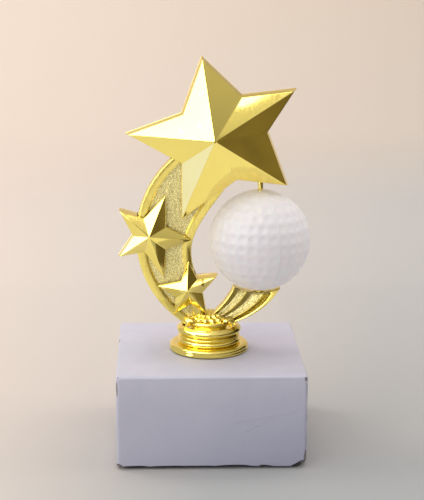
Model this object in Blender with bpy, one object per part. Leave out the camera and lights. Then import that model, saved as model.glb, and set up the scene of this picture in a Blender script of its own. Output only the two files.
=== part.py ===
"""Star trophy: a plated figure of three stars, a crescent and a ribbon tail on a
turned foot, a dimpled ball that spins on two pins, and a square block below.

Lengths here are millimetres; every finished mesh is scaled to metres.
+Z is up and -Y is the front. Every outline is drawn about the foot's axis, and
the whole trophy then moves along X so that the origin is the centre of the
underside of its bounding box. Z = 0 is the underside of the felt pad.
"""
import math

import bmesh
import bpy
from mathutils import Matrix

MM = 0.001
FIT_GAP = 0.3
HALF_GAP = 0.5 * FIT_GAP
AXIS_X = -1.92
CUT_OVERRUN = 1.0

# Block and felt pad
BLOCK_SIDE = 76.2
BLOCK_HEIGHT = 38.1
BLOCK_CORNER_RADIUS = 2.2
BLOCK_TOP_ROUND = 1.2
BLOCK_FOOT_ROUND = 0.5
LEAST_CORNER_RADIUS = 0.4
ROUND_SHARE = 0.3
PAD_SIDE = 73.2
PAD_THICKNESS = 0.6
PAD_CORNER_RADIUS = 3.0
BLOCK_BOTTOM = PAD_THICKNESS + FIT_GAP
BLOCK_TOP = BLOCK_BOTTOM + BLOCK_HEIGHT
CORNER_STEPS = 4

# Fastening down through the block
ROD_RADIUS = 3.0
ROD_BOTTOM = 3.2
ROD_TOP = 46.4
ROD_CHAMFER = 0.5
ROD_HOLE_RADIUS = 3.5
THREAD_HOLE_RADIUS = ROD_RADIUS + FIT_GAP
COUNTERBORE_RADIUS = 10.0
COUNTERBORE_DEPTH = 9.0
NUT_ACROSS_FLATS = 10.0
NUT_HEIGHT = 5.0
NUT_CHAMFER = 0.5
WASHER_RADIUS = 9.0
WASHER_THICKNESS = 1.5
HARDWARE_SEGMENTS = 32

# Turned foot
FOOT_BOTTOM = BLOCK_TOP + FIT_GAP
FOOT_BORE_RADIUS = 5.3
FOOT_BOSS_RADIUS = 7.6
FOOT_HOLLOW_RADIUS = 11.2
FOOT_HOLLOW_TOP = 45.6
FOOT_HOLLOW_CHAMFER = 1.5
FLANGE_RADIUS = 16.6
FLANGE_TOP = 42.2
FLANGE_EDGE_ROUND = 0.4
FLANGE_LAND = 1.0
FLANGE_SHOULDER_IN = 0.5
FLANGE_SHOULDER_DROP = 0.6
FLANGE_TOP_IN = 1.6
LOWER_BEAD_RADIUS = 13.1
MIDDLE_BEAD_RADIUS = 12.9
TOP_BEAD_RADIUS = 13.5
BEAD_GROOVE_RADIUS = 12.1
LOWER_BEAD_HEIGHTS = (42.3, 44.6)
MIDDLE_BEAD_HEIGHTS = (44.6, 46.2)
TOP_BEAD_HEIGHTS = (46.2, 49.8)
CUP_RADIUS = 11.0
CUP_FLOOR = 47.8
CUP_LIP_DROP = 0.3
CUP_TAPER = 0.4
BEAD_STEPS = 5
FOOT_SEGMENTS = 64
INSERT_RADIUS = 5.0
INSERT_BOTTOM = 40.2
INSERT_TOP = 47.4

# Leaf collar on the foot
COLLAR_BOTTOM = CUP_FLOOR + FIT_GAP
COLLAR_TOP = 53.8
COLLAR_EDGE = 0.6
COLLAR_RADIUS = 9.6
COLLAR_TOP_RADIUS = 3.2
COLLAR_LOBES = 14
COLLAR_LOBE_DEPTH = 0.7
COLLAR_SEGMENTS = 84
COLLAR_STEPS = 7
SLOT_HALF_WIDTH = 3.6
SLOT_FLOOR = 49.6
STEM_BOTTOM = SLOT_FLOOR + FIT_GAP

# Crescent: an outer arc and an inner edge of two curves
CRESCENT_CENTRE = (13.7, 87.3)
CRESCENT_RADIUS = 44.1
CRESCENT_TOP_ANGLE = 122.0
INNER_EDGE_UPPER = ((7.7, 109.5), (-0.6, 98.2), (-7.55, 90.0), (-7.55, 81.0))
INNER_EDGE_LOWER = ((-7.55, 81.0), (-7.55, 75.0), (-3.8, 66.0), (-2.2, STEM_BOTTOM))
CRESCENT_STEPS = 32
OUTER_RIM_WIDTH = 3.5
INNER_RIM_WIDTH = 3.6
RIM_HEIGHT = 3.2
PANEL_HEIGHT = 2.3
RIM_SHOULDER = 2.5
RIM_OUTER_ROUND = ((0.4, 0.2), (1.2, 0.0))
RIM_INNER_ROUND = ((1.0, 0.0), (0.3, 0.4))

# Ribbon tail: two edges and a cradle concentric with the ball
RIBBON_LEFT_EDGE = ((-1.6, STEM_BOTTOM), (0.0, 54.5), (6.5, 57.5), (10.1, 66.3))
RIBBON_RIGHT_EDGE = ((7.2, STEM_BOTTOM), (13.5, 50.6), (24.5, 55.5), (29.5, 65.3))
CRADLE_GAP = 1.1
RIBBON_STEPS = 14
RIBBON_PLEATS = (
    (0.0, 2.4), (0.03, 2.6), (0.11, 1.6), (0.31, 2.6), (0.42, 1.6),
    (0.65, 2.6), (0.90, 1.6), (0.93, 2.3), (0.97, 2.5), (1.0, 2.2),
)

# Ball and its two pins
BALL_CENTRE = (20.8, 0.0, 85.6)
BALL_RADIUS = 21.0
BALL_WALL = 1.5
BALL_SEAM_ANGLE = 19.0
DIMPLE_COLUMNS = 15
DIMPLE_ROWS = 15
DIMPLE_DEPTH = 0.3
PIN_RADIUS = 1.1
PIN_HOLE_RADIUS = 1.16
PIN_SEAT_RADIUS = PIN_RADIUS + FIT_GAP
PIN_CHAMFER = 0.3
UPPER_PIN_HEIGHTS = (103.8, 113.2)
LOWER_PIN_HEIGHTS = (59.6, 67.4)
SHOULDER_RADIUS = 1.8
SHOULDER_HEIGHTS = (62.7, 64.2)
PIN_SEGMENTS = 24

# Stars: (angle in degrees, radius) of the tips and of the valleys between them
BIG_STAR = {
    "centre": (3.3, 128.8),
    "tips": ((102, 33.5), (178, 38.0), (246, 38.3), (325, 35.5), (32, 37.5)),
    "valleys": ((147, 18.0), (215, 19.0), (294, 19.6), (6, 20.6), (61, 19.7)),
    "apex": (1.6, 128.5),
    "height": 13.0,
    "edge": 4.6,
    "draft": 0.045,
    "hollow": 0.84,
    "roof": 2.0,
}
MEDIUM_STAR = {
    "centre": (-23.8, 88.0),
    "tips": ((72, 18.6), (141, 17.5), (212, 16.5), (286, 19.2), (355, 17.2)),
    "valleys": ((112, 8.7), (178, 8.1), (246, 7.4), (316, 8.1), (35, 7.5)),
    "apex": (-24.85, 88.7),
    "height": 8.6,
    "edge": 4.6,
    "draft": 0.05,
    "hollow": 0.0,
    "roof": 0.0,
}
SMALL_STAR = {
    "centre": (-8.4, 65.1),
    "tips": ((92, 13.6), (171, 14.1), (237, 12.7), (306, 13.2), (27, 13.6)),
    "valleys": ((131, 5.6), (208, 6.7), (279, 6.2), (351, 6.0), (57, 6.4)),
    "apex": (-9.35, 65.75),
    "height": 7.9,
    "edge": 4.6,
    "draft": 0.08,
    "hollow": 0.0,
    "roof": 0.0,
}

GOLD = (0.83, 0.61, 0.16)
BLOCK_GREY = (0.36, 0.36, 0.45)
FELT_BLACK = (0.02, 0.02, 0.025)
ZINC = (0.62, 0.62, 0.60)
BALL_WHITE = (0.82, 0.80, 0.82)
BRASS = (0.72, 0.52, 0.22)


# ---------------------------------------------------------------- helpers

def clear_scene():
    """Empty the scene."""
    for item in list(bpy.data.objects):
        bpy.data.objects.remove(item, do_unlink=True)


def make_material(name, colour, roughness, metallic):
    """A plain Principled material."""
    material = bpy.data.materials.new(name)
    material.use_nodes = True
    shader = material.node_tree.nodes["Principled BSDF"]
    shader.inputs["Base Color"].default_value = (*colour, 1.0)
    shader.inputs["Roughness"].default_value = roughness
    shader.inputs["Metallic"].default_value = metallic
    return material


def closed_mesh(vertices, faces):
    """A mesh in millimetres with every face turned outward."""
    mesh = bpy.data.meshes.new("solid")
    mesh.from_pydata(vertices, [], faces)
    work = bmesh.new()
    work.from_mesh(mesh)
    bmesh.ops.recalc_face_normals(work, faces=work.faces[:])
    work.to_mesh(mesh)
    work.free()
    return mesh


def carve(mesh, cutter_mesh):
    """The first solid with the second one taken out of it."""
    target = bpy.data.objects.new("target", mesh)
    cutter = bpy.data.objects.new("cutter", cutter_mesh)
    bpy.context.scene.collection.objects.link(target)
    bpy.context.scene.collection.objects.link(cutter)
    cut = target.modifiers.new("cut", "BOOLEAN")
    cut.operation = "DIFFERENCE"
    cut.solver = "EXACT"
    cut.object = cutter
    view = bpy.context.evaluated_depsgraph_get()
    result = bpy.data.meshes.new_from_object(target.evaluated_get(view))
    bpy.data.objects.remove(target, do_unlink=True)
    bpy.data.objects.remove(cutter, do_unlink=True)
    return result


def place(name, mesh, material, origin=(0.0, 0.0, 0.0), sharp_degrees=35.0):
    """Scale a solid to metres and put it in the scene as one named node.

    The mesh is drawn about the node's own origin, which is a point given
    about the foot's axis.
    """
    mesh.transform(Matrix.Scale(MM, 4))
    mesh.name = name
    mesh.shade_smooth()
    mesh.set_sharp_from_angle(angle=math.radians(sharp_degrees))
    mesh.materials.clear()
    mesh.materials.append(material)
    node = bpy.data.objects.new(name, mesh)
    node.location = ((origin[0] + AXIS_X) * MM, origin[1] * MM, origin[2] * MM)
    bpy.context.scene.collection.objects.link(node)
    return node


def bridge(rings, wrap):
    """Faces between neighbouring rings of points; wrap joins last to first."""
    count = len(rings[0])
    total = len(rings)
    faces = []
    last = total if wrap else total - 1
    for row in range(last):
        for step in range(count):
            here = row * count + step
            side = row * count + (step + 1) % count
            above = ((row + 1) % total) * count
            faces.append((here, side, above + (step + 1) % count, above + step))
    return faces


def skin(rings):
    """A solid through a row of closed rings, with a flat face at each end."""
    count = len(rings[0])
    vertices = [point for ring in rings for point in ring]
    faces = bridge(rings, wrap=False)
    faces.append(tuple(range(count)))
    faces.append(tuple(range(len(vertices) - count, len(vertices))))
    return closed_mesh(vertices, faces)


def turn_ring(radius, height, segments):
    """One circle of points about the Z axis."""
    ring = []
    for step in range(segments):
        angle = 2.0 * math.pi * step / segments
        ring.append((radius * math.cos(angle), radius * math.sin(angle), height))
    return ring


def turned_solid(profile, segments):
    """Turn an open outline of (radius, height) points; both ends are discs."""
    return skin([turn_ring(radius, height, segments) for radius, height in profile])


def turned_tube(profile, segments):
    """Turn a closed outline of (radius, height) points into a ring."""
    rings = [turn_ring(radius, height, segments) for radius, height in profile]
    vertices = [point for ring in rings for point in ring]
    return closed_mesh(vertices, bridge(rings, wrap=True))


def shifted(mesh, offset):
    """Move a solid."""
    for vertex in mesh.vertices:
        vertex.co.x += offset[0]
        vertex.co.y += offset[1]
        vertex.co.z += offset[2]
    return mesh


def mirrored_to_back(mesh):
    """The same solid on the other side of the y = 0 plane."""
    work = bmesh.new()
    work.from_mesh(mesh)
    for vertex in work.verts:
        vertex.co.y = -vertex.co.y
    bmesh.ops.reverse_faces(work, faces=work.faces[:])
    work.to_mesh(mesh)
    work.free()
    return mesh


def curve_point(control, amount):
    """A point on a cubic curve with four control points."""
    rest = 1.0 - amount
    weights = (rest ** 3, 3 * rest ** 2 * amount, 3 * rest * amount ** 2, amount ** 3)
    across = sum(weight * point[0] for weight, point in zip(weights, control))
    up = sum(weight * point[1] for weight, point in zip(weights, control))
    return across, up


def polar(centre, degrees, radius):
    """A point at an angle and a distance from a centre."""
    angle = math.radians(degrees)
    return centre[0] + radius * math.cos(angle), centre[1] + radius * math.sin(angle)


def grown_outline(outline, distance):
    """A closed outline moved outward by a distance, with mitred corners."""
    count = len(outline)
    area = 0.0
    for index in range(count):
        here = outline[index]
        after = outline[(index + 1) % count]
        area += here[0] * after[1] - after[0] * here[1]
    outward = 1.0 if area > 0.0 else -1.0
    grown = []
    for index in range(count):
        before = outline[index - 1]
        here = outline[index]
        after = outline[(index + 1) % count]
        normals = []
        for start, end in ((before, here), (here, after)):
            run = end[0] - start[0]
            rise = end[1] - start[1]
            length = math.hypot(run, rise)
            normals.append((outward * rise / length, -outward * run / length))
        sum_x = normals[0][0] + normals[1][0]
        sum_z = normals[0][1] + normals[1][1]
        spread = 1.0 + normals[0][0] * normals[1][0] + normals[0][1] * normals[1][1]
        grown.append((here[0] + distance * sum_x / spread, here[1] + distance * sum_z / spread))
    return grown


def prism(outline, front, back):
    """An outline in the x, z plane made solid between two y values."""
    rings = [[(x, y, z) for x, z in outline] for y in (front, back)]
    return skin(rings)


# ---------------------------------------------------------------- block

def rounded_square(side, corner_radius, inset, height):
    """A level square with rounded corners, drawn in by an inset."""
    reach = 0.5 * side - inset
    radius = max(corner_radius - inset, LEAST_CORNER_RADIUS)
    ring = []
    for quarter in range(4):
        middle = math.radians(45.0 + 90.0 * quarter)
        centre_x = math.copysign(reach - radius, math.cos(middle))
        centre_y = math.copysign(reach - radius, math.sin(middle))
        for step in range(CORNER_STEPS + 1):
            angle = math.radians(90.0 * quarter + 90.0 * step / CORNER_STEPS)
            ring.append((centre_x + radius * math.cos(angle),
                         centre_y + radius * math.sin(angle), height))
    return ring


def build_base_block(material):
    """Square block with a stepped hole down its axis."""
    foot_round = BLOCK_FOOT_ROUND
    top_round = BLOCK_TOP_ROUND
    levels = [
        (foot_round, BLOCK_BOTTOM),
        (0.0, BLOCK_BOTTOM + foot_round),
        (0.0, BLOCK_TOP - top_round),
        (ROUND_SHARE * top_round, BLOCK_TOP - ROUND_SHARE * top_round),
        (top_round, BLOCK_TOP),
    ]
    rings = [rounded_square(BLOCK_SIDE, BLOCK_CORNER_RADIUS, inset, height)
             for inset, height in levels]
    step_height = BLOCK_BOTTOM + COUNTERBORE_DEPTH
    hole = turned_solid([
        (COUNTERBORE_RADIUS, BLOCK_BOTTOM - CUT_OVERRUN),
        (COUNTERBORE_RADIUS, step_height),
        (ROD_HOLE_RADIUS, step_height),
        (ROD_HOLE_RADIUS, BLOCK_TOP + CUT_OVERRUN),
    ], HARDWARE_SEGMENTS)
    place("base_block", carve(skin(rings), hole), material)


def build_base_pad(material):
    """Thin felt pad, set in from the block's edges, with a hole at the nut."""
    rings = [rounded_square(PAD_SIDE, PAD_CORNER_RADIUS, 0.0, height)
             for height in (0.0, PAD_THICKNESS)]
    hole = turned_solid([(COUNTERBORE_RADIUS, -CUT_OVERRUN),
                         (COUNTERBORE_RADIUS, PAD_THICKNESS + CUT_OVERRUN)], HARDWARE_SEGMENTS)
    place("base_pad", carve(skin(rings), hole), material)


# ---------------------------------------------------------------- fastening

def build_tie_rod(material):
    """Rod from the nut up into the foot's insert."""
    end_radius = ROD_RADIUS - ROD_CHAMFER
    profile = [
        (end_radius, ROD_BOTTOM),
        (ROD_RADIUS, ROD_BOTTOM + ROD_CHAMFER),
        (ROD_RADIUS, ROD_TOP - ROD_CHAMFER),
        (end_radius, ROD_TOP),
    ]
    place("tie_rod", turned_solid(profile, HARDWARE_SEGMENTS), material)


def build_washer(material):
    """Flat washer under the step of the block's hole."""
    top = BLOCK_BOTTOM + COUNTERBORE_DEPTH - FIT_GAP
    bottom = top - WASHER_THICKNESS
    profile = [
        (THREAD_HOLE_RADIUS, bottom),
        (WASHER_RADIUS, bottom),
        (WASHER_RADIUS, top),
        (THREAD_HOLE_RADIUS, top),
    ]
    place("washer", turned_tube(profile, HARDWARE_SEGMENTS), material)


def build_hex_nut(material):
    """Hexagon nut with a chamfer round its corners."""
    top = BLOCK_BOTTOM + COUNTERBORE_DEPTH - WASHER_THICKNESS - 2.0 * FIT_GAP
    bottom = top - NUT_HEIGHT
    corner = 0.5 * NUT_ACROSS_FLATS / math.cos(math.radians(30.0))
    levels = [
        (corner - NUT_CHAMFER, bottom),
        (corner, bottom + NUT_CHAMFER),
        (corner, top - NUT_CHAMFER),
        (corner - NUT_CHAMFER, top),
    ]
    hexagon = turned_solid(levels, 6)
    hole = turned_solid([(THREAD_HOLE_RADIUS, bottom - CUT_OVERRUN),
                         (THREAD_HOLE_RADIUS, top + CUT_OVERRUN)], HARDWARE_SEGMENTS)
    place("hex_nut", carve(hexagon, hole), material)


# ---------------------------------------------------------------- foot and collar

def bead(heights, groove_radius, bead_radius):
    """Outline of one half-round bead, from its lower groove to its upper one."""
    points = []
    for step in range(BEAD_STEPS + 1):
        share = step / BEAD_STEPS
        bulge = math.sin(math.pi * share)
        points.append((groove_radius + (bead_radius - groove_radius) * bulge,
                       heights[0] + (heights[1] - heights[0]) * share))
    return points


def build_foot(material):
    """Turned foot: a flange, three beads and a cup, hollow from below."""
    profile = [
        (FOOT_BORE_RADIUS, FOOT_BOTTOM),
        (FOOT_BOSS_RADIUS, FOOT_BOTTOM),
        (FOOT_BOSS_RADIUS, FOOT_HOLLOW_TOP),
        (FOOT_HOLLOW_RADIUS - FOOT_HOLLOW_CHAMFER, FOOT_HOLLOW_TOP),
        (FOOT_HOLLOW_RADIUS, FOOT_HOLLOW_TOP - FOOT_HOLLOW_CHAMFER),
        (FOOT_HOLLOW_RADIUS, FOOT_BOTTOM),
        (FLANGE_RADIUS - FLANGE_EDGE_ROUND, FOOT_BOTTOM),
        (FLANGE_RADIUS, FOOT_BOTTOM + FLANGE_EDGE_ROUND),
        (FLANGE_RADIUS, FOOT_BOTTOM + FLANGE_LAND),
        (FLANGE_RADIUS - FLANGE_SHOULDER_IN, FLANGE_TOP - FLANGE_SHOULDER_DROP),
        (FLANGE_RADIUS - FLANGE_TOP_IN, FLANGE_TOP),
    ]
    profile += bead(LOWER_BEAD_HEIGHTS, BEAD_GROOVE_RADIUS, LOWER_BEAD_RADIUS)
    profile += bead(MIDDLE_BEAD_HEIGHTS, BEAD_GROOVE_RADIUS, MIDDLE_BEAD_RADIUS)[1:]
    profile += bead(TOP_BEAD_HEIGHTS, BEAD_GROOVE_RADIUS, TOP_BEAD_RADIUS)[1:]
    profile += [
        (CUP_RADIUS, TOP_BEAD_HEIGHTS[1] - CUP_LIP_DROP),
        (CUP_RADIUS - CUP_TAPER, CUP_FLOOR),
        (FOOT_BORE_RADIUS, CUP_FLOOR),
    ]
    place("foot", turned_tube(profile, FOOT_SEGMENTS), material)


def build_foot_insert(material):
    """Threaded insert in the foot's boss, shown as a plain tube."""
    profile = [
        (THREAD_HOLE_RADIUS, INSERT_BOTTOM),
        (INSERT_RADIUS, INSERT_BOTTOM),
        (INSERT_RADIUS, INSERT_TOP),
        (THREAD_HOLE_RADIUS, INSERT_TOP),
    ]
    place("foot_insert", turned_tube(profile, HARDWARE_SEGMENTS), material)


def collar_ring(radius, height, lobe_depth, phase):
    """A circle pinched in between its lobes."""
    ring = []
    for step in range(COLLAR_SEGMENTS):
        angle = 2.0 * math.pi * step / COLLAR_SEGMENTS
        pinch = 1.0 - abs(math.cos(0.5 * COLLAR_LOBES * angle + phase))
        reach = radius - lobe_depth * pinch
        ring.append((reach * math.cos(angle), reach * math.sin(angle), height))
    return ring


def build_leaf_collar(material):
    """Lobed dome with a slot across it that holds the crescent and the ribbon."""
    rings = [collar_ring(COLLAR_RADIUS - COLLAR_EDGE, COLLAR_BOTTOM, COLLAR_LOBE_DEPTH, 0.0)]
    dome_height = COLLAR_TOP - COLLAR_BOTTOM - COLLAR_EDGE
    for step in range(COLLAR_STEPS + 1):
        share = step / COLLAR_STEPS
        tier = 0.0 if share < 0.5 else 0.5 * math.pi
        swell = math.cos(0.5 * math.pi * share)
        radius = COLLAR_TOP_RADIUS + (COLLAR_RADIUS - COLLAR_TOP_RADIUS) * swell
        height = COLLAR_BOTTOM + COLLAR_EDGE + dome_height * math.sin(0.5 * math.pi * share)
        rings.append(collar_ring(radius, height, COLLAR_LOBE_DEPTH * (1.0 - 0.5 * share), tier))
    reach = COLLAR_RADIUS + CUT_OVERRUN
    slot_top = COLLAR_TOP + CUT_OVERRUN
    slot_outline = [(-reach, SLOT_FLOOR), (reach, SLOT_FLOOR),
                    (reach, slot_top), (-reach, slot_top)]
    slot = prism(slot_outline, -SLOT_HALF_WIDTH, SLOT_HALF_WIDTH)
    place("leaf_collar", carve(skin(rings), slot), material)


# ---------------------------------------------------------------- crescent and ribbon

def crescent_edges(share):
    """Outer and inner edge points of the crescent, from its top end to its stem."""
    drop = (CRESCENT_CENTRE[1] - STEM_BOTTOM) / CRESCENT_RADIUS
    stem_angle = 180.0 + math.degrees(math.asin(drop))
    angle = CRESCENT_TOP_ANGLE + (stem_angle - CRESCENT_TOP_ANGLE) * share
    outer = polar(CRESCENT_CENTRE, angle, CRESCENT_RADIUS)
    if share < 0.5:
        inner = curve_point(INNER_EDGE_UPPER, 2.0 * share)
    else:
        inner = curve_point(INNER_EDGE_LOWER, 2.0 * share - 1.0)
    return outer, inner


def crescent_outline():
    """The crescent's closed outline in the x, z plane."""
    outer_side = []
    inner_side = []
    for step in range(CRESCENT_STEPS + 1):
        outer, inner = crescent_edges(step / CRESCENT_STEPS)
        outer_side.append(outer)
        inner_side.append(inner)
    return outer_side + inner_side[::-1]


def rim_section(width):
    """Cross-section of the crescent: two raised rims with a sunk panel between."""
    outer_end = OUTER_RIM_WIDTH
    inner_start = width - INNER_RIM_WIDTH
    section = [(0.0, HALF_GAP), (0.0, RIM_SHOULDER)]
    section += [(inset, RIM_HEIGHT - drop) for inset, drop in RIM_OUTER_ROUND]
    section += [(outer_end - inset, RIM_HEIGHT - drop) for inset, drop in RIM_INNER_ROUND]
    section += [(outer_end, PANEL_HEIGHT), (inner_start, PANEL_HEIGHT)]
    section += [(inner_start + inset, RIM_HEIGHT - drop)
                for inset, drop in RIM_INNER_ROUND[::-1]]
    section += [(width - inset, RIM_HEIGHT - drop) for inset, drop in RIM_OUTER_ROUND[::-1]]
    section += [(width, RIM_SHOULDER), (width, HALF_GAP)]
    return section


def crescent_half():
    """The front half of the crescent."""
    rings = []
    for step in range(CRESCENT_STEPS + 1):
        outer, inner = crescent_edges(step / CRESCENT_STEPS)
        width = math.dist(outer, inner)
        run = (inner[0] - outer[0]) / width
        rise = (inner[1] - outer[1]) / width
        rings.append([(outer[0] + run * along, -depth, outer[1] + rise * along)
                      for along, depth in rim_section(width)])
    return skin(rings)


def build_crescent(material):
    """Both halves of the crescent, meeting at the y = 0 plane."""
    place("crescent_front", crescent_half(), material)
    place("crescent_back", mirrored_to_back(crescent_half()), material)


def ribbon_point(across, share):
    """A point of the ribbon: across it from left to right, up it from the stem."""
    left = curve_point(RIBBON_LEFT_EDGE, share)
    right = curve_point(RIBBON_RIGHT_EDGE, share)
    left_end = RIBBON_LEFT_EDGE[3]
    right_end = RIBBON_RIGHT_EDGE[3]
    ball = (BALL_CENTRE[0], BALL_CENTRE[2])
    start = math.degrees(math.atan2(left_end[1] - ball[1], left_end[0] - ball[0]))
    finish = math.degrees(math.atan2(right_end[1] - ball[1], right_end[0] - ball[0]))
    cradle = polar(ball, start + (finish - start) * across, BALL_RADIUS + CRADLE_GAP)
    pull = share ** 2
    point = []
    for axis in (0, 1):
        straight = left[axis] + (right[axis] - left[axis]) * across
        chord = left_end[axis] + (right_end[axis] - left_end[axis]) * across
        point.append(straight + pull * (cradle[axis] - chord))
    return point[0], point[1]


def plate(front, back):
    """A solid between two grids of points that have the same rows and columns."""
    rows = len(front)
    columns = len(front[0])
    vertices = [point for line in front + back for point in line]
    far = rows * columns
    faces = []
    for row in range(rows - 1):
        for column in range(columns - 1):
            here = row * columns + column
            quad = (here, here + 1, here + columns + 1, here + columns)
            faces.append(quad)
            faces.append(tuple(far + index for index in quad))
    border = list(range(columns))
    border += [row * columns + columns - 1 for row in range(1, rows)]
    border += [(rows - 1) * columns + column for column in range(columns - 2, -1, -1)]
    border += [row * columns for row in range(rows - 2, 0, -1)]
    for start, end in zip(border, border[1:] + border[:1]):
        faces.append((start, end, far + end, far + start))
    return closed_mesh(vertices, faces)


def ribbon_half():
    """The front half of the ribbon, with a groove for the lower pin."""
    front = []
    back = []
    for step in range(RIBBON_STEPS + 1):
        front_line = []
        back_line = []
        for across, depth in RIBBON_PLEATS:
            x, z = ribbon_point(across, step / RIBBON_STEPS)
            front_line.append((x, -depth, z))
            back_line.append((x, -HALF_GAP, z))
        front.append(front_line)
        back.append(back_line)
    seat_top = SHOULDER_HEIGHTS[0] - FIT_GAP
    seat = turned_solid([
        (PIN_SEAT_RADIUS, LOWER_PIN_HEIGHTS[0] - FIT_GAP),
        (PIN_SEAT_RADIUS, seat_top),
        (SHOULDER_RADIUS + FIT_GAP, seat_top),
        (SHOULDER_RADIUS + FIT_GAP, SHOULDER_HEIGHTS[1] + CUT_OVERRUN),
    ], PIN_SEGMENTS)
    return carve(plate(front, back), shifted(seat, (BALL_CENTRE[0], 0.0, 0.0)))


def build_ribbon(material):
    """Both halves of the ribbon tail."""
    place("ribbon_front", ribbon_half(), material)
    place("ribbon_back", mirrored_to_back(ribbon_half()), material)


# ---------------------------------------------------------------- stars

def star_outline(star, scale):
    """Tips and valleys in turn round a star, drawn in towards its centre."""
    outline = []
    for tip, valley in zip(star["tips"], star["valleys"]):
        outline.append(polar(star["centre"], tip[0], tip[1] * scale))
        outline.append(polar(star["centre"], valley[0], valley[1] * scale))
    return outline


def star_half(star):
    """Front half of a star: ten facets rising to a point over a drafted side."""
    count = 2 * len(star["tips"])
    rim = [(x, -HALF_GAP, z) for x, z in star_outline(star, 1.0)]
    shoulder = [(x, -star["edge"], z) for x, z in star_outline(star, 1.0 - star["draft"])]
    vertices = rim + shoulder
    apex = len(vertices)
    vertices.append((star["apex"][0], -star["height"], star["apex"][1]))
    faces = []
    for step in range(count):
        after = (step + 1) % count
        faces.append((step, after, count + after, count + step))
        faces.append((count + step, count + after, apex))
    if star["hollow"] > 0.0:
        start = len(vertices)
        vertices += [(x, -HALF_GAP, z) for x, z in star_outline(star, star["hollow"])]
        vertices.append((star["apex"][0], -(star["height"] - star["roof"]), star["apex"][1]))
        for step in range(count):
            after = (step + 1) % count
            faces.append((step, after, start + after, start + step))
            faces.append((start + step, start + after, start + count))
    else:
        faces.append(tuple(range(count)))
    return closed_mesh(vertices, faces)


def crescent_pocket():
    """Clearance round the front half of the crescent."""
    return prism(grown_outline(crescent_outline(), FIT_GAP), CUT_OVERRUN, -(RIM_HEIGHT + FIT_GAP))


def build_star_pair(label, star, material, extra_cutter=None):
    """Front and back halves of one star, seated over the crescent."""
    for side in ("front", "back"):
        half = carve(star_half(star), crescent_pocket())
        if extra_cutter:
            half = carve(half, extra_cutter())
        if side == "back":
            half = mirrored_to_back(half)
        place(label + "_" + side, half, material, sharp_degrees=10.0)


def upper_pin_seat():
    """Clearance for the upper pin in the big star's lower edge."""
    seat = turned_solid([(PIN_SEAT_RADIUS, UPPER_PIN_HEIGHTS[0]),
                         (PIN_SEAT_RADIUS, UPPER_PIN_HEIGHTS[1] + FIT_GAP)], PIN_SEGMENTS)
    return shifted(seat, (BALL_CENTRE[0], 0.0, 0.0))


# ---------------------------------------------------------------- ball and pins

def build_pins(material):
    """The two fixed pins the ball spins on; the lower one has a shoulder."""
    end_radius = PIN_RADIUS - PIN_CHAMFER
    upper = [
        (end_radius, UPPER_PIN_HEIGHTS[0]),
        (PIN_RADIUS, UPPER_PIN_HEIGHTS[0] + PIN_CHAMFER),
        (PIN_RADIUS, UPPER_PIN_HEIGHTS[1] - PIN_CHAMFER),
        (end_radius, UPPER_PIN_HEIGHTS[1]),
    ]
    lower = [
        (end_radius, LOWER_PIN_HEIGHTS[0]),
        (PIN_RADIUS, LOWER_PIN_HEIGHTS[0] + PIN_CHAMFER),
        (PIN_RADIUS, SHOULDER_HEIGHTS[0]),
        (SHOULDER_RADIUS, SHOULDER_HEIGHTS[0]),
        (SHOULDER_RADIUS, SHOULDER_HEIGHTS[1]),
        (PIN_RADIUS, SHOULDER_HEIGHTS[1]),
        (PIN_RADIUS, LOWER_PIN_HEIGHTS[1] - PIN_CHAMFER),
        (end_radius, LOWER_PIN_HEIGHTS[1]),
    ]
    offset = (BALL_CENTRE[0], 0.0, 0.0)
    place("upper_pivot", shifted(turned_solid(upper, PIN_SEGMENTS), offset), material)
    place("lower_pivot", shifted(turned_solid(lower, PIN_SEGMENTS), offset), material)


def shell_grid(radius, columns, rows, dimple_depth):
    """Points of half a sphere between its two pin holes, column by column."""
    hole_angle = math.asin(PIN_HOLE_RADIUS / radius)
    grid = []
    for column in range(columns + 1):
        turn = math.pi * column / columns
        line = []
        for row in range(rows + 1):
            tilt = hole_angle + (math.pi - 2.0 * hole_angle) * row / rows
            reach = radius
            if column % 2 and row % 2:
                reach = radius - dimple_depth
            line.append((reach * math.sin(tilt) * math.cos(turn),
                         reach * math.sin(tilt) * math.sin(turn),
                         reach * math.cos(tilt)))
        grid.append(line)
    return grid


def half_ball():
    """Half of the hollow ball: dimpled outside, smooth inside, on the +Y side."""
    columns = 2 * DIMPLE_COLUMNS
    rows = 2 * DIMPLE_ROWS
    outer = shell_grid(BALL_RADIUS, columns, rows, DIMPLE_DEPTH)
    inner = shell_grid(BALL_RADIUS - BALL_WALL, DIMPLE_COLUMNS, DIMPLE_ROWS, 0.0)
    vertices = [point for line in outer for point in line]
    start = len(vertices)
    vertices += [point for line in inner for point in line]
    faces = []
    for first, column_count, row_count in ((0, columns, rows), (start, DIMPLE_COLUMNS, DIMPLE_ROWS)):
        stride = row_count + 1
        for column in range(column_count):
            for row in range(row_count):
                here = first + column * stride + row
                faces.append((here, here + 1, here + stride + 1, here + stride))
    outer_stride = rows + 1
    inner_stride = DIMPLE_ROWS + 1
    for outer_column, inner_column in ((0, 0), (columns, DIMPLE_COLUMNS)):
        outer_line = [outer_column * outer_stride + row for row in range(outer_stride)]
        inner_line = [start + inner_column * inner_stride + row for row in range(inner_stride)]
        faces.append(tuple(outer_line + inner_line[::-1]))
    for outer_row, inner_row in ((0, 0), (rows, DIMPLE_ROWS)):
        for column in range(DIMPLE_COLUMNS):
            left = 2 * column * outer_stride + outer_row
            middle = left + outer_stride
            right = middle + outer_stride
            below_left = start + column * inner_stride + inner_row
            below_right = below_left + inner_stride
            faces.append((left, middle, below_left))
            faces.append((middle, right, below_right))
            faces.append((middle, below_right, below_left))
    return closed_mesh(vertices, faces)


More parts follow.
